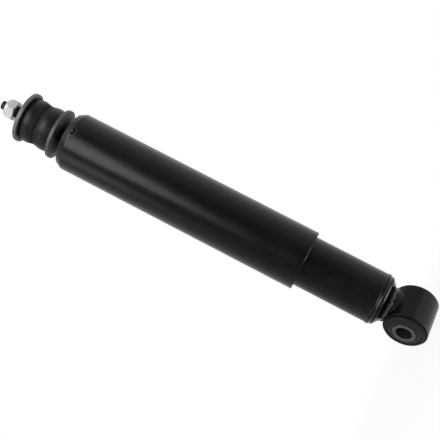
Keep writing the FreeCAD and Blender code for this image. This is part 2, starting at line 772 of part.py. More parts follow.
def dust_tube():
    """The outer cover, open below and tapered in at its top."""
    foot, top = neck_line()
    tube = pressed([
        (DUST_R, DUST_LIP),
        (foot[0], foot[1], DUST_NECK_BEND),
        top,
    ], DUST_TUBE_WALL)
    for mark in stake_marks():
        tube = tube.cut(mark)
    return tube


def dust_tube_cap():
    """The pressed cap that closes the dust tube, with a collar drawn up around the rod."""
    skirt = DUST_CAP_TOP - DUST_CAP_SKIRT
    collar_r = ROD_R + DUST_CAP_WALL
    return pressed([
        (neck_inside(skirt), skirt),
        (neck_inside(DUST_CAP_TOP), DUST_CAP_TOP, DUST_CAP_CORNER),
        (collar_r, DUST_CAP_TOP, DUST_COLLAR_BEND),
        (collar_r, DUST_CAP_TOP + DUST_COLLAR_HEIGHT),
    ], DUST_CAP_WALL)


# The stud mounting

def stood(solid, height, upright):
    """A piece set at a height, the right way up or turned over."""
    if not upright:
        solid.rotate(ORIGIN, X_AXIS, 180)
    return solid.translate(Z_AXIS * height)


def cup(back, opens_up):
    """A cup washer with a raised lip, lying with its back at a height."""
    lip_r = CUP_R - CUP_LIP_WIDTH
    washer = turned([
        (STUD_HOLE_R, 0),
        (CUP_R, 0, CUP_EDGE),
        (CUP_R, CUP_HEIGHT, CUP_EDGE),
        (lip_r, CUP_HEIGHT, CUP_EDGE / 2),
        (lip_r, CUP_PLATE),
        (STUD_HOLE_R, CUP_PLATE),
    ])
    return stood(washer, back, opens_up)


def stud_bush(seat, height, opens_up):
    """A barrel of rubber that sits in a cup and narrows to its mate."""
    swell = height * BUSH_SWELL_SHARE
    barrel = turned([
        (STUD_HOLE_R, 0),
        (CUP_R - CUP_LIP_WIDTH - BUSH_TO_LIP, 0, BUSH_EDGE),
        (BUSH_R, swell, BUSH_ROUND),
        (BUSH_R, height - swell, BUSH_ROUND),
        (BUSH_R - BUSH_WAIST_INSET, height, BUSH_EDGE),
        (STUD_HOLE_R, height),
    ])
    return stood(barrel, seat, opens_up)


def lock_ring_room():
    """Inner and outer radius, bottom and top of the nut's locking ring."""
    top = NUT_BOTTOM + NUT_HEIGHT - LOCK_RING_COVER
    inner_r = STUD_R + RUNNING_FIT
    return inner_r, inner_r + LOCK_RING_WALL, top - LOCK_RING_HEIGHT, top


def stud_nut():
    """The hexagon nut, chamfered below, with a domed collar over its locking ring."""
    inner_r, groove_r, groove_bottom, groove_top = lock_ring_room()
    corner_r = NUT_AF / math.sqrt(3)
    flat_r = NUT_AF / 2
    top = NUT_BOTTOM + NUT_HEIGHT
    dome = NUT_BOTTOM + NUT_HEX_HEIGHT
    blank = turned([
        (0, NUT_BOTTOM),
        (flat_r - NUT_CHAMFER / 2, NUT_BOTTOM),
        (corner_r, NUT_BOTTOM + NUT_CHAMFER),
        (corner_r, dome - NUT_CHAMFER),
        (flat_r - NUT_CHAMFER / 2, dome),
        (flat_r - NUT_CHAMFER / 2, top, NUT_DOME_ROUND),
        (0, top),
    ])
    sides = hexagon(NUT_AF, NUT_BOTTOM, top).rotate(ORIGIN, Z_AXIS, NUT_TURN)
    body = blank.common(sides)
    body = body.cut(Part.makeCylinder(inner_r, NUT_HEIGHT, FreeCAD.Vector(0, 0, NUT_BOTTOM), Z_AXIS))
    return body.cut(ring(0.5 * inner_r, groove_r, groove_bottom, groove_top))


def nut_lock_ring():
    """The plastic ring that grips the thread."""
    return ring(*lock_ring_room())


PIECES = {
    "eye_sleeve": eye_sleeve(),
    "eye_bush": eye_bush(),
    "eye_ring": eye_ring(),
    "base_cap": base_cap(),
    "reservoir_tube": reservoir_tube(),
    "cylinder_tube": cylinder_tube(),
    "foot_valve_body": foot_valve_body(),
    "foot_check_plate": foot_check_plate(),
    "foot_check_spring": foot_check_spring(),
    "compression_discs": disc_stack(FOOT_DISCS_BOTTOM, FOOT_BOLT_R, True),
    "foot_valve_bolt": foot_valve_bolt(),
    "foot_valve_nut": foot_valve_nut(),
    "rod_guide": rod_guide(),
    "guide_bush": guide_bush(),
    "rod_seal": rod_seal(),
    "seal_retainer": seal_retainer(),
    "piston_rod": piston_rod(),
    "piston": piston(),
    "piston_band": piston_band(),
    "piston_check_plate": piston_check_plate(),
    "piston_check_spring": piston_check_spring(),
    "rebound_stop_plate": rebound_stop_plate(),
    "rebound_bumper": rebound_bumper(),
    "rebound_discs": disc_stack(DISCS_BOTTOM, SPIGOT_R, True),
    "rebound_spring_seat": rebound_spring_seat(),
    "rebound_spring": rebound_spring(),
    "piston_nut": piston_nut(),
    "dust_tube": dust_tube(),
    "dust_tube_cap": dust_tube_cap(),
    "lower_cup_washer": cup(LOWER_CUP_BACK, True),
    "lower_bush": stud_bush(LOWER_BUSH_BOTTOM, LOWER_BUSH_HEIGHT, True),
    "upper_bush": stud_bush(UPPER_BUSH_TOP, UPPER_BUSH_HEIGHT, False),
    "upper_cup_washer": cup(UPPER_CUP_BACK, False),
    "stud_nut": stud_nut(),
    "nut_lock_ring": nut_lock_ring(),
}

os.makedirs("parts", exist_ok=True)
for node, shape in PIECES.items():
    shape.exportStep(f"parts/{node}.step")
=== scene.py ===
import math
import random

import bmesh
import bpy
from mathutils import Matrix, Quaternion, Vector


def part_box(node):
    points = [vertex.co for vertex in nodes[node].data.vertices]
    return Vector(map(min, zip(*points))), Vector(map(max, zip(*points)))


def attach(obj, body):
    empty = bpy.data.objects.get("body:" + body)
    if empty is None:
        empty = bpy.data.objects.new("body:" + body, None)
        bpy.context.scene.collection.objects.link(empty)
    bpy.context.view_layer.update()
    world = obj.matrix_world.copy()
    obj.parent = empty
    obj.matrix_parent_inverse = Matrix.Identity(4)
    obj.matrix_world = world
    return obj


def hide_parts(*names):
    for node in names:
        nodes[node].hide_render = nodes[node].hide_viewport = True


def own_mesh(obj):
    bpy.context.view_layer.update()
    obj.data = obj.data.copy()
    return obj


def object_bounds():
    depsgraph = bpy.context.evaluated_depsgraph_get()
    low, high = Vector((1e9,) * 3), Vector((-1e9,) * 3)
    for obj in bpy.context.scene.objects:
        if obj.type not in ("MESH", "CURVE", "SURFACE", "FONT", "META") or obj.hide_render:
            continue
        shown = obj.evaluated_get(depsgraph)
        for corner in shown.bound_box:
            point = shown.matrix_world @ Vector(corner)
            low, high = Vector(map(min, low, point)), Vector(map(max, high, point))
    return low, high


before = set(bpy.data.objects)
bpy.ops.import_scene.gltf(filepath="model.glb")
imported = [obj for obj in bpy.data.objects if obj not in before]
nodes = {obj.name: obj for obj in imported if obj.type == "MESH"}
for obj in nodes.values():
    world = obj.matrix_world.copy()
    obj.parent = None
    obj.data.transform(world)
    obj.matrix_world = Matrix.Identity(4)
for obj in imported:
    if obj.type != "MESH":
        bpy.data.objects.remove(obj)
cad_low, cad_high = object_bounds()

# Camera and studio, in metres. The damper stands upright, and the rolled camera lays it
# across the picture.
VIEW_TURN = Vector((0.792, -0.610, 0.0)).normalized()
VIEW_SIDE = Vector((0.610, 0.792, 0.0)).normalized()
UPRIGHT = Vector((0.0, 0.0, 1.0))
VIEW_TILT = math.radians(6.19)
ROLL = math.radians(27.35)
LENS = 72.4
SENSOR_WIDTH = 36.0
CAMERA_DISTANCE = 1.094
AIM_HEIGHT = 0.25845
AIM_ASIDE = -0.00342
FLOOR_R = 0.36
FLOOR_STEPS = 96
SHADOW_R = 0.1
SHADOW_SHARE = 0.08

# The way to the camera, the way down the damper across the picture, and the point aimed at.
BACK = VIEW_TURN * math.cos(VIEW_TILT) - UPRIGHT * math.sin(VIEW_TILT)
ALONG = -UPRIGHT * math.cos(VIEW_TILT) - VIEW_TURN * math.sin(VIEW_TILT)
AIM = UPRIGHT * AIM_HEIGHT + VIEW_SIDE * AIM_ASIDE

# Sizes of the pieces made here, in metres.
ROUND_STEPS = 128
SPRING_STEPS = 96
SPRING_THICKNESS = 0.0006
FOOT_BOLT_R = 0.0065
MERGE = 1e-7
NEAR = 1e-6

ROD_R = 0.010
SPIGOT_R = 0.006
STUD_R = 0.008
END_ROUND = 0.0008
SHOULDER_ROUND = 0.0004
STEP_ROUND = 0.0005
RUNOUT_ROUND = 0.0003
POINT_R = 0.00565
POINT_LENGTH = 0.007
POINT_TAPER = 0.0015
THREAD_ROOT_R = 0.0071
THREAD_CREST_R = 0.0079
THREAD_PITCH = 0.0015
THREAD_STEPS = 40
THREAD_SHARP = 25
CORE_R = THREAD_ROOT_R - 0.0001

STUD_HOLE_R = 0.00835
BUSH_WAIST_INSET = 0.0021
BUSH_EDGE = 0.0012
BUSH_ROUND = 0.009
BUSH_SWELL_SHARE = 0.4
MOULD_LINE_HALF = 0.0003
MOULD_LINE_PROUD = 0.00012

SLEEVE_BORE_R = 0.0101
SLEEVE_FIT = 0.00005
EYE_WALL = 0.004
FLANGE_INSET = 0.0005
FLANGE_THICKNESS = 0.0022
FLANGE_ROUND = 0.0010
COLLAR_WIDTH = 0.0034
RIB_SHARE = 0.25
RIB_ROUND_SHARE = 0.4

WELD_R = 0.0208
WELD_DROPS = 30
WELD_SEED = 5
WELD_END_ANGLE = math.radians(-50)
WELD_END_SWELL = 0.4
DROP_FORM = (0.0019, 0.0030, 0.0025)
DROP_SIZES = (0.75, 1.45)
DROP_LEVELS = (-0.0012, 0.0006)
DROP_DRIFT = 0.2
DROP_LEAN = 0.4

# Places of marks, wear, and painted light and shade: lengths in metres, and angles about the
# damper's axis.
SHOULDER_HEIGHT = 0.0076
SHOULDER_INSET = 0.00375
MARK_COUNT = 3
MARK_ANGLE = math.radians(-21)
MARK_R = 0.0037
LIP_WEAR_AND_GLINT_ANGLE = math.radians(-24)
CAP_SHOULDER = 0.0076
CAP_GLINT = (math.radians(-17), math.radians(21))
CREST = 0.0008
CREST_GLINT = (math.radians(-43), math.radians(13))
ARC_WIDTH = 0.0009
BEAD_RIPPLES = 84.0
CUP_SHADE_OUTER_R = 0.0285
CUP_SHADE_INNER_R = 0.0150
EYE_RING_SPACING = 0.0032


# Helpers for node trees

def fresh_tree(owner):
    """The node tree of a material or world, emptied."""
    owner.use_nodes = True
    owner.node_tree.nodes.clear()
    return owner.node_tree


def put(tree, kind, inputs=None, **settings):
    """Adds a node, sets its settings, and sets or links its inputs."""
    node = tree.nodes.new("ShaderNode" + kind)
    for name, value in settings.items():
        setattr(node, name, value)
    for name, value in (inputs or {}).items():
        socket = node.inputs[name]
        if isinstance(value, bpy.types.NodeSocket):
            tree.links.new(value, socket)
        else:
            socket.default_value = value
    return node


def new_finish(name, **sockets):
    """A Principled material with some plain values set, for its own function to detail."""
    material = bpy.data.materials.new(name)
    tree = fresh_tree(material)
    values = {words.replace("_", " "): value for words, value in sockets.items()}
    shader = put(tree, "BsdfPrincipled", values)
    out = put(tree, "OutputMaterial")
    tree.links.new(shader.outputs[0], out.inputs[0])
    return material, tree, shader


def wire(tree, shader, **links):
    """Links sockets to the shader's inputs of those names."""
    for words, socket in links.items():
        tree.links.new(socket, shader.inputs[words.replace("_", " ")])


def grey(value, warm=0.0):
    """A grey that leans from blue to red by a share."""
    return (value * (1 + warm), value, value * (1 - warm), 1.0)


def here(tree):
    """The place on the object, in metres."""
    return put(tree, "TexCoord").outputs["Object"]


def stretched(tree, place, z):
    """A place whose height counts for more or less, so that patterns shrink or stretch along it."""
    return put(tree, "Mapping", {"Vector": place, "Scale": (1.0, 1.0, z)}).outputs[0]


def grain(tree, place, size, detail=3.0):
    """Noise from 0 to 1 whose patches are about size metres across."""
    inputs = {"Vector": place, "Scale": 1 / size, "Detail": detail}
    return put(tree, "TexNoise", inputs).outputs[0]


def between(tree, value, low, high, start=0.0, end=1.0):
    """Start where value is low, end where it is high, and clamped outside."""
    return put(tree, "MapRange", {
        "Value": value, "From Min": low, "From Max": high, "To Min": start, "To Max": end,
    }).outputs[0]


def patches(tree, noise):
    """A noise as a share that reaches 0 and 1, for patches of two colours."""
    return between(tree, noise, 0.35, 0.7)


def varied(tree, noise, low, high):
    """A value that drifts from low to high with a noise."""
    return between(tree, noise, 0.3, 0.7, low, high)


def calc(tree, operation, *values):
    """The result of a sum or function of values."""
    return put(tree, "Math", dict(enumerate(values)), operation=operation).outputs[0]


def both(tree, one, other):
    """What two masks have in common, or a mask weakened by a share."""
    return calc(tree, "MULTIPLY", one, other)


def either(tree, one, other):
    """What at least one of two masks has."""
    return calc(tree, "MAXIMUM", one, other)


def off(tree, value, middle):
    """How far a value lies from a middle, to either side."""
    return calc(tree, "ABSOLUTE", calc(tree, "SUBTRACT", value, middle))


def tint(tree, share, one, other):
    """One colour that turns into the other by a share."""
    return put(tree, "Mix", {0: share, 6: one, 7: other}, data_type="RGBA").outputs[2]


def relief(tree, height, depth, under=None):
    """A bump of that depth in metres, laid over another one."""
    inputs = {"Height": height, "Distance": depth, "Strength": 1.0}
    if under:
        inputs["Normal"] = under
    return put(tree, "Bump", inputs).outputs[0]


def towards(tree, direction, way):
    """How far a direction points one way, from 1 to -1."""
    return put(tree, "VectorMath", {0: direction, 1: way}, operation="DOT_PRODUCT").outputs["Value"]


def span(tree, across, up):
    """The straight distance over two steps at a right angle."""
    step = put(tree, "CombineXYZ", {0: across, 1: up}).outputs[0]
    return put(tree, "VectorMath", {0: step}, operation="LENGTH").outputs["Value"]


def axis_parts(tree, place):
    """Height along the damper, distance from its axis and angle around it."""
    x, y, z = put(tree, "SeparateXYZ", {0: place}).outputs
    return z, span(tree, x, y), calc(tree, "ARCTAN2", y, x)


def bore_parts(tree, place):
    """Distance along the eye's bore and distance from its axis."""
    x, y, z = put(tree, "SeparateXYZ", {0: place}).outputs
    return y, span(tree, x, z)


def worn_edge(tree, width):
    """A mask of the outward edges, as wide as the given metres."""
    rounded = put(tree, "Bevel", {"Radius": width}, samples=6).outputs[0]
    straight = put(tree, "NewGeometry").outputs["Normal"]
    return between(tree, towards(tree, rounded, straight), 0.985, 0.9)


def glint_arc(tree, height, angle, level, stretch):
    """A mask of a stretch of a round edge at a level, for a painted highlight: its middle and half
    its angle.
    """
    middle, half = stretch
    on_edge = between(tree, off(tree, height, level), ARC_WIDTH, ARC_WIDTH * 0.45)
    return both(tree, on_edge, between(tree, off(tree, angle, middle), half * 1.3, half * 0.5))


# Finishes

def punch_marks(tree, place, sunk, aside, above):
    """Masks of the punch marks at the dust tube's shoulder: painted shade, scuffs and painted
    highlights.

    Sunk is the depth under the tube's skin, aside the way round from the nearest mark, and
    above the height over the foot of the shoulder.
    """
    # Painted shade: the grooves, and a ring just outside them, are darkened where shade falls in
    # the marks.
    cut = both(tree, between(tree, sunk, 0.0003, 0.0006), between(tree, sunk, 0.0014, 0.0012))
    from_mark = span(tree, aside, above)
    on_arc = between(tree, off(tree, from_mark, MARK_R), 0.0014, 0.0010)
    arc_shade = both(tree, on_arc, between(tree, above, 0.0010, 0.0004))
    shaded_grooves = either(tree, cut, both(tree, arc_shade, 0.9))
    # Lighter patches round each mark: partly scuffed paint, partly a painted highlight on its
    # raised metal.
    around = between(tree, from_mark, 0.0075, 0.0055, 0.0, 0.9)
    uneven = between(tree, grain(tree, place, 0.003), 0.35, 0.6, 0.3, 1.0)
    return shaded_grooves, both(tree, around, uneven)


def worn_and_glinting_rims(tree, place, height, angle, sunk):
    """A mask of chipped paint at the dust tube's ends, and a painted highlight on one side of its
    lip.
    """
    low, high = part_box("dust_tube")
    near_lip = between(tree, height, low.z + 0.0014, low.z + 0.0006)
    on_tube = between(tree, sunk, 0.004, 0.003)
    # On one side of the lip the light line is a painted highlight as well as chipped paint.
    one_side = between(tree, off(tree, angle, LIP_WEAR_AND_GLINT_ANGLE), 0.4, 0.15, 0.06, 0.8)
    at_lip = both(tree, both(tree, near_lip, on_tube), one_side)
    share = between(tree, on_tube, 0.0, 1.0, 1.0, 0.3)
    at_top = both(tree, between(tree, height, high.z - 0.0015, high.z - 0.0006), share)
    uneven = between(tree, grain(tree, place, 0.006), 0.3, 0.6, 0.35, 1.0)
    return both(tree, either(tree, at_lip, at_top), uneven)


def tube_paint():
    """Semi-gloss black on the tubes, with orange peel, faint dust, wear, punch marks, and painted
    light and shade.
    """
    material, tree, shader = new_finish("tube_paint")
    place = here(tree)
    height, radius, angle = axis_parts(tree, place)
    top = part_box("dust_tube")[1].z
    tube_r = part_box("dust_tube")[1].x
    foot = top - SHOULDER_HEIGHT
    skin_r = between(tree, height, foot, top, tube_r, tube_r - SHOULDER_INSET)
    sunk = calc(tree, "SUBTRACT", skin_r, radius)
    above = calc(tree, "SUBTRACT", height, foot)
    half_way = math.pi / MARK_COUNT
    from_mark = calc(tree, "WRAP", calc(tree, "SUBTRACT", angle, MARK_ANGLE), half_way, -half_way)
    aside = calc(tree, "MULTIPLY", from_mark, tube_r)
    shaded_grooves, scuffs_and_glints = punch_marks(tree, place, sunk, aside, above)
    mottle = grain(tree, place, 0.03)
    dust = grain(tree, place, 0.0014, 5)
    drawn = grain(tree, stretched(tree, place, 0.05), 0.002, 4)
    black = tint(tree, patches(tree, mottle), grey(0.0026, 0.05), grey(0.0044, 0.02))
    dusty = tint(tree, between(tree, dust, 0.62, 0.82, 0.0, 0.3), black, grey(0.03, 0.03))
    edged = tint(tree, both(tree, worn_edge(tree, 0.0006), 0.35), dusty, grey(0.10, 0.04))
    on_top = between(tree, above, -0.0005, 0.001)
    on_tube = between(tree, sunk, 0.004, 0.003)
    on_shoulder = both(tree, on_top, on_tube)
    # Painted light: grey is laid over the shoulder and the cap on top, more on the cap than the
    # shoulder.
    top_light_share = both(tree, on_top, between(tree, on_tube, 0.0, 1.0, 0.6, 0.3))
    top_lightened = tint(tree, top_light_share, edged, grey(0.026, 0.03))
    # Lighter patches round the marks: partly scuffed paint and partly painted highlight.
    scuffed_and_glinting = tint(tree, scuffs_and_glints, top_lightened, grey(0.055, 0.03))
    # Chipped rims; along one side of the lip the light line is also a painted highlight.
    chips_and_glint = worn_and_glinting_rims(tree, place, height, angle, sunk)
    chipped_and_glinting = tint(tree, chips_and_glint, scuffed_and_glinting, grey(0.16, 0.04))
    # Painted shade: the punch marks' grooves are painted near black.
    colour = tint(tree, shaded_grooves, chipped_and_glinting, grey(0.0008))
    lines = between(tree, drawn, 0.4, 0.7, 0.0, 0.04)
    smooth = calc(tree, "ADD", varied(tree, mottle, 0.22, 0.27), lines)
    gloss = calc(tree, "ADD", smooth, both(tree, shaded_grooves, 0.5))
    shine = between(tree, on_shoulder, 0.0, 1.0, 0.5, 0.9)
    sheen = between(tree, shaded_grooves, 0.0, 1.0, shine, 0.06)
    waves = relief(tree, grain(tree, stretched(tree, place, 0.3), 0.014, 2), 0.000018)
    peel = relief(tree, grain(tree, place, 0.0011, 2), 0.000006, waves)
    wire(tree, shader, Base_Color=colour, Roughness=gloss, Specular_IOR_Level=sheen, Normal=peel)
    return material


def forged_paint():
    """Thin dark paint on the eye and neck over a forged, faintly pitted skin; painted light and
    shade.
    """
    material, tree, shader = new_finish("forged_paint", Specular_IOR_Level=0.28)
    place = here(tree)
    along = bore_parts(tree, place)[0]
    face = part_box("eye_ring")[1].y
    shaded_face = between(tree, calc(tree, "ABSOLUTE", along), face - 0.0006, face - 0.0002)
    skin = grain(tree, place, 0.009, 4)
    pits = grain(tree, place, 0.0016, 4)
    one, other = (0.0026, 0.0022, 0.0029, 1), (0.0048, 0.0041, 0.0052, 1)
    dark = tint(tree, patches(tree, skin), one, other)
    # Scuffed edges, lightened to stand also for the highlights along the eye's edges.
    scuffs_and_glints = both(tree, worn_edge(tree, 0.0009), between(tree, pits, 0.35, 0.55))
    edged = tint(tree, scuffs_and_glints, dark, grey(0.09, 0.04))
    # Painted shade: the ring's end faces, round the rubber, are painted near black.
    colour = tint(tree, shaded_face, edged, grey(0.0012))
    gloss = varied(tree, skin, 0.24, 0.34)
    dents = relief(tree, skin, 0.00015)
    pitted = relief(tree, between(tree, pits, 0.3, 0.5), 0.00004, dents)
    wire(tree, shader, Base_Color=colour, Roughness=gloss, Normal=pitted)
    return material


def weld_paint():
    """Black paint over the base cap and the welds, with ripples, small spatter, worn edges and
    painted highlights.
    """
    material, tree, shader = new_finish("weld_paint")
    place = here(tree)
    height, _, angle = axis_parts(tree, place)
    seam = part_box("reservoir_tube")[0].z
    under_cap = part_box("base_cap")[0].z
    on_bead = both(tree, between(tree, height, seam - 0.003, seam - 0.0015),
                   between(tree, height, seam + 0.0045, seam + 0.003))
    on_drops = between(tree, height, under_cap + 0.003, under_cap + 0.0015)
    waves = calc(tree, "SINE", calc(tree, "MULTIPLY", angle, BEAD_RIPPLES))
    ripple = calc(tree, "ADD", calc(tree, "MULTIPLY", waves, 0.3), grain(tree, place, 0.003))
    spatter = between(tree, grain(tree, place, 0.0021, 2), 0.66, 0.76)
    skin = grain(tree, place, 0.012)
    black = tint(tree, patches(tree, skin), grey(0.0012, 0.03), grey(0.0026, 0.03))
    uneven = between(tree, grain(tree, place, 0.005), 0.35, 0.6, 0.2, 0.9)
    thin = both(tree, worn_edge(tree, 0.0005), uneven)
    edged = tint(tree, thin, black, grey(0.12, 0.03))
    # Painted highlights: light lines over set stretches of the cap's shoulder and of the bead's
    # crest.
    on_shoulder = glint_arc(tree, height, angle, under_cap + CAP_SHOULDER, CAP_GLINT)
    on_crest = both(tree, glint_arc(tree, height, angle, seam + CREST, CREST_GLINT), 0.75)
    lines = both(tree, either(tree, on_shoulder, on_crest), between(tree, skin, 0.3, 0.6, 0.5, 1.0))
    colour = tint(tree, lines, edged, grey(0.34, 0.02))
    gloss = calc(tree, "ADD", varied(tree, skin, 0.09, 0.17), both(tree, on_drops, 0.13))
    sheen = between(tree, on_drops, 0.0, 1.0, 0.26, 0.9)
    beaded = relief(tree, both(tree, ripple, on_bead), 0.00012)
    spotted = relief(tree, spatter, 0.00015, beaded)
    wire(tree, shader, Base_Color=colour, Roughness=gloss, Specular_IOR_Level=sheen, Normal=spotted)
    return material


def zinc():
    """Bright white zinc on the nut, with faint streaks and cloudy patches."""
    material, tree, shader = new_finish("zinc", Metallic=0.55)
    place = here(tree)
    cloud = grain(tree, place, 0.006, 4)
    streak = grain(tree, stretched(tree, place, 0.15), 0.0011, 4)
    pale = tint(tree, patches(tree, cloud), (0.86, 0.88, 0.90, 1), (0.93, 0.93, 0.925, 1))
    streaked = between(tree, streak, 0.58, 0.75, 0.0, 0.35)
    colour = tint(tree, streaked, pale, (0.62, 0.65, 0.68, 1))
    gloss = varied(tree, cloud, 0.30, 0.44)
    lines = relief(tree, streak, 0.00002)
    wire(tree, shader, Base_Color=colour, Roughness=gloss, Normal=lines)
    return material


def dull_plate():
    """Dull grey plating on the cups: rolled grain, rubbed edges, a lit upper cup and painted shade
    underneath.
    """
    material, tree, shader = new_finish("dull_plate")
    place = here(tree)
    height, radius, _ = axis_parts(tree, place)
    stain = grain(tree, place, 0.011, 5)
    fine = grain(tree, stretched(tree, place, 3.0), 0.0015, 4)
    lower_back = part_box("lower_cup_washer")[0].z
    upper_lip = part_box("upper_cup_washer")[0].z
    on_upper = between(tree, height, upper_lip - 0.002, upper_lip - 0.001)
    on_lip = both(tree, between(tree, height, upper_lip - 0.001, upper_lip),
                  between(tree, height, upper_lip + 0.0009, upper_lip + 0.0003, 0.0, 0.5))
    on_back = between(tree, height, lower_back + 0.0009, lower_back + 0.0002)
    underside = either(tree, on_back, on_lip)
    inner = between(tree, radius, CUP_SHADE_OUTER_R, CUP_SHADE_INNER_R)
    shadow = both(tree, underside, inner)
    spread = patches(tree, stain)
    # Painted light: the upper cup takes a lighter copy of the plate's colour than the lower cup.
    dark = tint(tree, spread, (0.115, 0.114, 0.106, 1), (0.160, 0.158, 0.147, 1))
    upper_lit = tint(tree, spread, (0.19, 0.188, 0.177, 1), (0.26, 0.257, 0.242, 1))
    base = tint(tree, on_upper, dark, upper_lit)
    specks = between(tree, fine, 0.6, 0.75, 0.0, 0.5)
    dirty = tint(tree, specks, base, (0.06, 0.058, 0.054, 1))
    rubbed = tint(tree, both(tree, worn_edge(tree, 0.0008), 0.5), dirty, grey(0.28, 0.03))
    # Painted shade: the faces underneath darken towards the middle, where they lie close to other
    # parts.
    shaded = tint(tree, inner, grey(0.095, 0.03), grey(0.016, 0.03))
    colour = tint(tree, underside, rubbed, shaded)
    metal = between(tree, shadow, 0.0, 1.0, 0.4, 0.05)
    sheen = between(tree, shadow, 0.0, 1.0, 0.5, 0.1)
    gloss = calc(tree, "ADD", varied(tree, stain, 0.38, 0.52), both(tree, shadow, 0.3))
    skin = relief(tree, fine, 0.00003)
    wire(tree, shader, Base_Color=colour, Metallic=metal, Specular_IOR_Level=sheen,
         Roughness=gloss, Normal=skin)
    return material


def rubber():
    """Moulded black rubber, with a faint grey bloom, fine pores and a matt joint."""
    material, tree, shader = new_finish("rubber", Specular_IOR_Level=0.46)
    place = here(tree)
    height = axis_parts(tree, place)[0]
    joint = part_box("lower_bush")[1].z
    bloom = grain(tree, place, 0.012, 4)
    pores = grain(tree, place, 0.0008)
    black = tint(tree, patches(tree, bloom), grey(0.0050), grey(0.0090))
    colour = tint(tree, between(tree, pores, 0.62, 0.8, 0.0, 0.4), black, grey(0.03))
    matt = between(tree, off(tree, height, joint), 0.001, 0.008, 0.42, 0.0)
    gloss = calc(tree, "ADD", varied(tree, bloom, 0.34, 0.44), matt)
    skin = relief(tree, pores, 0.00004, relief(tree, bloom, 0.00015))
    wire(tree, shader, Base_Color=colour, Roughness=gloss, Normal=skin)
    return material


def eye_rubber():
    """The eye's rubber, browner with bloom, lined by the rings of its mould, with painted shade at
    its rim.
    """
    material, tree, shader = new_finish("eye_rubber", Specular_IOR_Level=0.28)
    place = here(tree)
    radius = bore_parts(tree, place)[1]
    flange_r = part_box("eye_bush")[1].x - FLANGE_INSET
    shaded_rim = between(tree, radius, flange_r - 0.0008, flange_r - 0.0003)
    bloom = grain(tree, place, 0.008, 4)
    pores = grain(tree, place, 0.0009)
    rings = calc(tree, "SINE", calc(tree, "MULTIPLY", radius, 2 * math.pi / EYE_RING_SPACING))
    one, other = (0.0065, 0.0062, 0.0057, 1), (0.0115, 0.0110, 0.0100, 1)
    brown = tint(tree, patches(tree, bloom), one, other)
    lined = tint(tree, between(tree, rings, 0.3, 1.0, 0.0, 0.5), brown, (0.032, 0.0305, 0.028, 1))
    porous = tint(tree, between(tree, pores, 0.6, 0.8, 0.0, 0.4), lined, grey(0.006))
    # Painted shade: the flange's rim, under its rounded edge, is painted near black.
    colour = tint(tree, shaded_rim, porous, grey(0.0012))
    gloss = calc(tree, "ADD", varied(tree, bloom, 0.48, 0.62), both(tree, shaded_rim, 0.3))
    skin = relief(tree, pores, 0.00003, relief(tree, rings, 0.00003))
    wire(tree, shader, Base_Color=colour, Roughness=gloss, Normal=skin)
    return material


def sleeve_steel():
    """Bare turned steel of the sleeve, warm with a thin film of oil and age; painted shade in the
    bore.
    """
    material, tree, shader = new_finish("sleeve_steel", Metallic=0.8)
    place = here(tree)
    along, radius = bore_parts(tree, place)
    shaded_bore = between(tree, radius, SLEEVE_BORE_R + 0.0004, SLEEVE_BORE_R + 0.0001)
    film = grain(tree, place, 0.005, 4)
    rings = grain(tree, put(tree, "CombineXYZ", {0: radius, 1: along}).outputs[0], 0.0004, 2)
    base = tint(tree, patches(tree, film), (0.092, 0.088, 0.080, 1), (0.135, 0.130, 0.119, 1))
    lined = tint(tree, between(tree, rings, 0.5, 0.75, 0.0, 0.5), base, (0.085, 0.08, 0.072, 1))
    # Painted shade: the bore is given a darker colour than the outside.
    colour = tint(tree, shaded_bore, lined, (0.085, 0.082, 0.074, 1))
    gloss = varied(tree, film, 0.36, 0.5)
    turned_lines = relief(tree, rings, 0.00002)
    wire(tree, shader, Base_Color=colour, Roughness=gloss, Normal=turned_lines)
    return material


def turned_metal(name, light, dark, metal, smooth, rough, line):
    """A turned or drawn metal with stains and with rings of a line's width about the axis."""
    material, tree, shader = new_finish(name, Metallic=metal)
    place = here(tree)
    height, radius, _ = axis_parts(tree, place)
    stain = grain(tree, place, 0.007, 4)
    rings = grain(tree, put(tree, "CombineXYZ", {0: radius, 1: height}).outputs[0], line, 2)
    base = tint(tree, patches(tree, stain), dark, light)
    colour = tint(tree, between(tree, rings, 0.55, 0.75, 0.0, 0.35), base, dark)
    gloss = varied(tree, stain, smooth, rough)
    lines = relief(tree, rings, 0.00001)
    wire(tree, shader, Base_Color=colour, Roughness=gloss, Normal=lines)
    return material


def sintered_iron():
    """Pressed iron powder, matt and full of fine pores."""
    material, tree, shader = new_finish("sintered_iron", Metallic=0.75)
    place = here(tree)
    pores = grain(tree, place, 0.0006, 4)
    cloud = grain(tree, place, 0.006)
    base = tint(tree, patches(tree, cloud), (0.13, 0.125, 0.118, 1), (0.20, 0.19, 0.18, 1))
    colour = tint(tree, between(tree, pores, 0.58, 0.7), base, grey(0.03, 0.03))
    gloss = varied(tree, cloud, 0.5, 0.65)
    skin = relief(tree, between(tree, pores, 0.7, 0.5), 0.00006)
    wire(tree, shader, Base_Color=colour, Roughness=gloss, Normal=skin)
    return material


def plastic():
    """Plain moulded plastic of the locking ring and the piston band."""
    material, tree, shader = new_finish("plastic")
    place = here(tree)
    flow = grain(tree, place, 0.004)
    fine = grain(tree, place, 0.0005)
    colour = tint(tree, patches(tree, flow), (0.085, 0.105, 0.18, 1), (0.115, 0.135, 0.215, 1))
    gloss = varied(tree, fine, 0.36, 0.5)
    skin = relief(tree, fine, 0.00002)
    wire(tree, shader, Base_Color=colour, Roughness=gloss, Normal=skin)
    return material


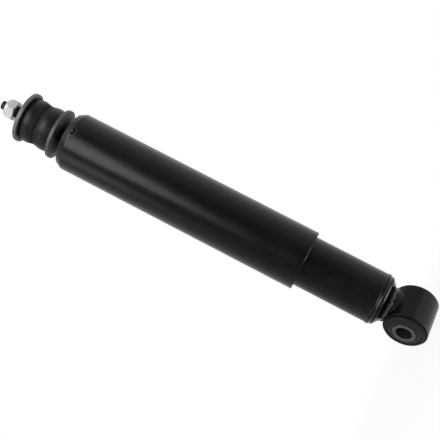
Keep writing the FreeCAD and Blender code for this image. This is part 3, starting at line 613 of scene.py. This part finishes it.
tube_black = tube_paint()
weld_black = weld_paint()
eye_black = forged_paint()
nut_zinc = zinc()
cup_plate = dull_plate()
bush_rubber = rubber()
eye_bush_rubber = eye_rubber()
sleeve_bare = sleeve_steel()
bare_steel = turned_metal(
    "bare_steel", light=grey(0.46, 0.04), dark=grey(0.3, 0.05),
    metal=0.95, smooth=0.3, rough=0.42, line=0.0006)
spring_steel = turned_metal(
    "spring_steel", light=(0.31, 0.31, 0.34, 1), dark=(0.17, 0.17, 0.2, 1),
    metal=0.95, smooth=0.28, rough=0.4, line=0.0009)
hard_chrome = turned_metal(
    "hard_chrome", light=grey(0.62), dark=grey(0.5),
    metal=1.0, smooth=0.1, rough=0.17, line=0.0004)
black_stud = turned_metal(
    "black_stud", light=(0.026, 0.0255, 0.028, 1), dark=(0.013, 0.0128, 0.014, 1),
    metal=0.5, smooth=0.36, rough=0.5, line=0.0008)
lined_bronze = turned_metal(
    "lined_bronze", light=(0.52, 0.35, 0.15, 1), dark=(0.36, 0.22, 0.09, 1),
    metal=0.95, smooth=0.3, rough=0.42, line=0.0005)
iron = sintered_iron()
moulded = plastic()

WEARERS = [
    (tube_black, ["dust_tube", "dust_tube_cap", "reservoir_tube"]),
    (weld_black, ["base_cap"]),
    (eye_black, ["eye_ring"]),
    (nut_zinc, ["stud_nut"]),
    (cup_plate, ["lower_cup_washer", "upper_cup_washer"]),
    (bush_rubber, ["lower_bush", "upper_bush", "rod_seal", "rebound_bumper"]),
    (eye_bush_rubber, ["eye_bush"]),
    (sleeve_bare, ["eye_sleeve"]),
    (bare_steel, ["cylinder_tube", "seal_retainer", "foot_valve_bolt", "foot_valve_nut",
                  "piston_nut", "rebound_stop_plate"]),
    (spring_steel, ["foot_check_plate", "foot_check_spring", "compression_discs",
                    "piston_check_plate", "piston_check_spring", "rebound_discs",
                    "rebound_spring", "rebound_spring_seat"]),
    (hard_chrome, ["piston_rod"]),
    (iron, ["piston", "foot_valve_body", "rod_guide"]),
    (lined_bronze, ["guide_bush"]),
    (moulded, ["nut_lock_ring", "piston_band"]),
]
for material, wearers in WEARERS:
    for name in wearers:
        nodes[name].data.materials.clear()
        nodes[name].data.materials.append(material)


# Pieces

def turned(corners, steps=ROUND_STEPS):
    """A mesh turned about the damper's axis from corners of radius, height and rounding."""
    shape = bmesh.new()
    points = [shape.verts.new((corner[0], 0, corner[1])) for corner in corners]
    lines = [shape.edges.new(pair) for pair in zip(points, points[1:])]
    if corners[0][0] > 0:
        lines.append(shape.edges.new((points[-1], points[0])))
    bmesh.ops.spin(shape, geom=points + lines, cent=(0, 0, 0), axis=(0, 0, 1),
                   angle=2 * math.pi, steps=steps, use_merge=True)
    bmesh.ops.remove_doubles(shape, verts=shape.verts, dist=MERGE)
    bmesh.ops.recalc_face_normals(shape, faces=shape.faces)
    count = len(corners)
    for i, corner in enumerate(corners):
        if len(corner) == 3:
            round_off(shape, corner, corners[i - 1], corners[(i + 1) % count])
    return shape


def round_off(shape, corner, before, after):
    """Rounds the circle of edges at a corner to its rounding."""
    spot = Vector(corner[:2])
    turn = (spot - Vector(before[:2])).angle(Vector(after[:2]) - spot)

    def at_corner(point):
        return abs(math.hypot(point.x, point.y) - spot.x) < NEAR and abs(point.z - spot.y) < NEAR

    ring = [edge for edge in shape.edges if all(at_corner(vert.co) for vert in edge.verts)]
    bmesh.ops.bevel(shape, geom=ring, offset=corner[2] * math.tan(turn / 2),
                    segments=max(3, int(turn * 8)), profile=0.5, affect="EDGES", material=-1)


def turn_about_x(shape, centre, angle):
    """Turns a mesh about a line along X through a centre."""
    bmesh.ops.rotate(shape, verts=shape.verts, cent=centre, matrix=Matrix.Rotation(angle, 3, "X"))


def piece(name, shape, body, *finishes, sharp=40):
    """Makes a mesh into a piece that rides on a body, smooth but for edges of a sharp angle."""
    bmesh.ops.recalc_face_normals(shape, faces=shape.faces)
    for face in shape.faces:
        face.smooth = True
    for edge in shape.edges:
        edge.smooth = edge.is_manifold and edge.calc_face_angle(0.0) < math.radians(sharp)
    mesh = bpy.data.meshes.new(name)
    shape.to_mesh(mesh)
    shape.free()
    for material in finishes:
        mesh.materials.append(material)
    made = bpy.data.objects.new(name, mesh)
    bpy.context.collection.objects.link(made)
    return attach(made, body)


def stud_bush(name, node, cup_below):
    """A barrel of rubber with a mould line round its belly, seated in its cup."""
    low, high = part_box(node)
    belly = high.x
    waist = belly - BUSH_WAIST_INSET
    tall = high.z - low.z
    middle = tall / 2
    shape = turned([
        (STUD_HOLE_R, 0.0),
        (waist, 0.0, BUSH_EDGE),
        (belly, tall * BUSH_SWELL_SHARE, BUSH_ROUND),
        (belly, middle - MOULD_LINE_HALF),
        (belly + MOULD_LINE_PROUD, middle),
        (belly, middle + MOULD_LINE_HALF),
        (belly, tall * (1 - BUSH_SWELL_SHARE), BUSH_ROUND),
        (waist, tall, BUSH_EDGE),
        (STUD_HOLE_R, tall),
    ])
    if not cup_below:
        turn_about_x(shape, (0, 0, middle), math.pi)
    bmesh.ops.translate(shape, verts=shape.verts, vec=(0, 0, low.z))
    made = piece(name, shape, "rod", bush_rubber)
    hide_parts(node)


def eye_bush():
    """The eye's rubber: a flange with a raised ring over each face, and a collar on the sleeve."""
    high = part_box("eye_bush")[1]
    bore_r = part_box("eye_sleeve")[1].x + SLEEVE_FIT
    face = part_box("eye_ring")[1].y
    grip_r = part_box("eye_ring")[1].x - EYE_WALL
    flange_r = high.x - FLANGE_INSET
    rim = face + FLANGE_THICKNESS
    collar = high.y
    collar_r = bore_r + COLLAR_WIDTH
    cone_r = collar_r + COLLAR_WIDTH
    rib = (flange_r - FLANGE_THICKNESS / 2 - cone_r) * RIB_SHARE
    rib_r = cone_r + rib * 2
    rib_round = rib * RIB_ROUND_SHARE
    half = [
        (grip_r, face),
        (flange_r, face),
        (flange_r, rim, FLANGE_ROUND),
        (rib_r + rib, rim),
        (rib_r + rib / 2, rim + rib, rib_round),
        (rib_r - rib / 2, rim + rib, rib_round),
        (rib_r - rib, rim),
        (cone_r, rim, FLANGE_ROUND),
        (collar_r, collar, FLANGE_ROUND),
        (bore_r, collar),
    ]
    other = [(corner[0], -corner[1], *corner[2:]) for corner in reversed(half)]
    shape = turned(half + other)
    turn_about_x(shape, (0, 0, 0), -math.pi / 2)
    made = piece("eye_bush_rubber", shape, "reservoir", eye_bush_rubber)
    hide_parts("eye_bush")


def rod_and_stud():
    """The rod: bright through the guide and piston, blackened from the dust cap to its point."""
    low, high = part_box("piston_rod")
    bottom, tip = low.z, high.z
    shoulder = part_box("rebound_stop_plate")[1].z
    cup_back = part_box("lower_cup_washer")[0].z
    thread_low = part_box("upper_cup_washer")[0].z
    thread_high = tip - POINT_LENGTH - (STUD_R - POINT_R)
    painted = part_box("dust_tube_cap")[0].z
    shape = turned([
        (0, bottom),
        (SPIGOT_R, bottom, END_ROUND),
        (SPIGOT_R, shoulder),
        (ROD_R, shoulder, SHOULDER_ROUND),
        (ROD_R, painted),
        (ROD_R, cup_back, STEP_ROUND),
        (STUD_R, cup_back),
        (STUD_R, thread_low, RUNOUT_ROUND),
        (CORE_R, thread_low),
        (CORE_R, thread_high),
        (POINT_R, thread_high + POINT_TAPER),
        (POINT_R, tip, END_ROUND),
        (0, tip),
    ])
    for face in shape.faces:
        face.material_index = 1 if face.calc_center_median().z > painted else 0
    made = piece("rod_and_stud", shape, "rod", hard_chrome, black_stud)
    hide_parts("piston_rod")
    winding = screw_thread(thread_low, thread_high)
    thread = piece("stud_thread", winding, "rod", black_stud, sharp=THREAD_SHARP)


def screw_thread(low, high):
    """A thread wound about the axis and cut off square at both ends."""
    shape = bmesh.new()
    turns = math.ceil((high - low) / THREAD_PITCH) + 2
    start = low - THREAD_PITCH
    flank = [
        (THREAD_ROOT_R, 0.0),
        (THREAD_CREST_R, 0.4),
        (THREAD_CREST_R, 0.52),
        (THREAD_ROOT_R, 0.92),
        (THREAD_ROOT_R, 1.0),
    ]
    points = [shape.verts.new((radius, 0, start + THREAD_PITCH * rise)) for radius, rise in flank]
    lines = [shape.edges.new(pair) for pair in zip(points, points[1:])]
    bmesh.ops.spin(shape, geom=points + lines, cent=(0, 0, 0), axis=(0, 0, 1),
                   dvec=(0, 0, THREAD_PITCH / THREAD_STEPS), angle=2 * math.pi * turns,
                   steps=THREAD_STEPS * turns)
    bmesh.ops.remove_doubles(shape, verts=shape.verts, dist=NEAR)
    for level, way in ((low, -1), (high, 1)):
        bmesh.ops.bisect_plane(shape, geom=shape.verts[:] + shape.edges[:] + shape.faces[:],
                               plane_co=(0, 0, level), plane_no=(0, 0, way), clear_outer=True)
        rim = [edge for edge in shape.edges if edge.is_boundary
               and all(abs(vert.co.z - level) < NEAR for vert in edge.verts)]
        bmesh.ops.contextual_create(shape, geom=rim)
    return shape


def neck_weld():
    """The hand-laid weld round the eye's neck: uneven drops that overlap, largest at its end."""
    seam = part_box("base_cap")[0].z
    chance = random.Random(WELD_SEED)
    shape = bmesh.new()
    for drop in range(WELD_DROPS):
        angle = 2 * math.pi * (drop + chance.uniform(-DROP_DRIFT, DROP_DRIFT)) / WELD_DROPS
        swell = WELD_END_SWELL * max(0.0, math.cos(angle - WELD_END_ANGLE)) ** 6
        size = chance.uniform(*DROP_SIZES) * (1 + swell)
        spot = Matrix.Translation((WELD_R, 0, seam + chance.uniform(*DROP_LEVELS)))
        place = Matrix.Rotation(angle, 4, "Z") @ spot
        lean = Matrix.Rotation(chance.uniform(-DROP_LEAN, DROP_LEAN), 4, "X")
        form = Matrix.Diagonal((*(length * size for length in DROP_FORM), 1.0))
        bmesh.ops.create_icosphere(shape, subdivisions=3, radius=1.0, matrix=place @ lean @ form)
    made = piece("neck_weld", shape, "reservoir", weld_black)


def valve_spring(name, node, body, narrow_r):
    """A thin cone spring over a valve plate."""
    low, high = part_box(node)
    shape = turned([
        (high.x, low.z),
        (high.x, low.z + SPRING_THICKNESS),
        (narrow_r, high.z),
        (narrow_r, high.z - SPRING_THICKNESS),
    ], SPRING_STEPS)
    made = piece(name, shape, body, spring_steel)
    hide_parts(node)
    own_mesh(made)


stud_bush("lower_bush_rubber", "lower_bush", True)
stud_bush("upper_bush_rubber", "upper_bush", False)
eye_bush()
rod_and_stud()
neck_weld()
valve_spring("foot_spring_cone", "foot_check_spring", "reservoir", FOOT_BOLT_R)
valve_spring("piston_spring_cone", "piston_check_spring", "rod", ROD_R)


# Studio

def studio_world():
    """A white room behind the object that darkens towards the camera's side."""
    world = bpy.data.worlds.new("studio")
    bpy.context.scene.world = world
    tree = fresh_tree(world)
    direction = put(tree, "TexCoord").outputs["Generated"]
    facing = towards(tree, direction, BACK)
    aside = towards(tree, direction, VIEW_SIDE)
    rise = towards(tree, direction, UPRIGHT)
    level = between(tree, facing, 1.0, -1.0, 0.05, 1.05)
    level = both(tree, level, between(tree, aside, 0.0, -0.9, 1.0, 0.68))
    level = both(tree, level, between(tree, rise, -0.35, 0.3, 0.8, 1.05))
    level = both(tree, level, between(tree, rise, 0.35, 0.95, 1.0, 0.35))
    seen = put(tree, "LightPath").outputs["Is Camera Ray"]
    strength = put(tree, "Mix", {0: seen, 2: level, 3: 1.0}).outputs[0]
    shader = put(tree, "Background", {"Color": (1, 1, 1, 1), "Strength": strength})
    out = put(tree, "OutputWorld")
    tree.links.new(shader.outputs[0], out.inputs[0])


def pale_floor():
    """A pale disc under the object that shows white but for the object's shadow."""
    shape = bmesh.new()
    bmesh.ops.create_circle(shape, cap_ends=True, radius=FLOOR_R, segments=FLOOR_STEPS)
    bmesh.ops.translate(shape, vec=(0, 0, cad_low.z), verts=shape.verts)
    mesh = bpy.data.meshes.new("floor")
    shape.to_mesh(mesh)
    shape.free()
    floor = bpy.data.objects.new("floor", mesh)
    bpy.context.collection.objects.link(floor)
    material = bpy.data.materials.new("pale_floor")
    tree = fresh_tree(material)
    light = put(tree, "LightPath").outputs
    mirrored = either(tree, light["Is Glossy Ray"], light["Is Transmission Ray"])
    seen = either(tree, light["Is Camera Ray"], mirrored)
    radius = axis_parts(tree, here(tree))[1]
    glowing = between(tree, radius, SHADOW_R, FLOOR_R * 0.9, 1 - SHADOW_SHARE, 1.0)
    matt = put(tree, "BsdfDiffuse", {"Color": (0.7, 0.7, 0.7, 1)}).outputs[0]
    glow = put(tree, "Emission", {"Color": (1, 1, 1, 1), "Strength": 1.0}).outputs[0]
    mixed = put(tree, "MixShader", {0: both(tree, seen, glowing), 1: matt, 2: glow}).outputs[0]
    out = put(tree, "OutputMaterial")
    tree.links.new(mixed, out.inputs[0])
    mesh.materials.append(material)


def softbox(name, place, aim_height, size, radiance, lean=0.0, in_gloss=True):
    """An oval lamp that faces a height on the damper's axis.

    Its place is measured towards the view, to the view's side and up. Its size is its width
    and height, its radiance a share of white, and its lean in degrees.
    """
    width, height = size
    lamp = bpy.data.lights.new(name, "AREA")
    lamp.shape = "ELLIPSE"
    lamp.size = width
    lamp.size_y = height
    lamp.energy = radiance * math.pi * (math.pi / 4) * width * height
    box = bpy.data.objects.new(name, lamp)
    bpy.context.collection.objects.link(box)
    ahead, aside, up = place
    box.location = VIEW_TURN * ahead + VIEW_SIDE * aside + UPRIGHT * up
    facing = (box.location - UPRIGHT * aim_height).to_track_quat("Z", "Y")
    box.rotation_euler = (facing @ Quaternion((0, 0, 1), math.radians(lean))).to_euler()
    box.visible_glossy = in_gloss
    box.visible_camera = False


def camera():
    """The camera, rolled so that the damper lies across the picture."""
    lens = bpy.data.cameras.new("camera")
    lens.lens = LENS
    lens.sensor_width = SENSOR_WIDTH
    eye = bpy.data.objects.new("camera", lens)
    bpy.context.collection.objects.link(eye)
    right = ALONG * math.cos(ROLL) + VIEW_SIDE * math.sin(ROLL)
    up = VIEW_SIDE * math.cos(ROLL) - ALONG * math.sin(ROLL)
    turn = Matrix((right, up, BACK)).transposed().to_4x4()
    eye.matrix_world = Matrix.Translation(AIM + BACK * CAMERA_DISTANCE) @ turn
    bpy.context.scene.camera = eye


studio_world()
pale_floor()
softbox("key", (1.53, -0.17, 1.52), aim_height=0.4, size=(1.6, 2.5), radiance=2.4, lean=-40)
softbox("side", (0.5, -1.5, 1.15), aim_height=0.45, size=(1.0, 1.0), radiance=0.85)
softbox("fill", (1.6, -0.5, 0.5), aim_height=0.3, size=(1.5, 1.5), radiance=0.9, in_gloss=False)
camera()

bpy.context.scene.view_settings.view_transform = "Standard"
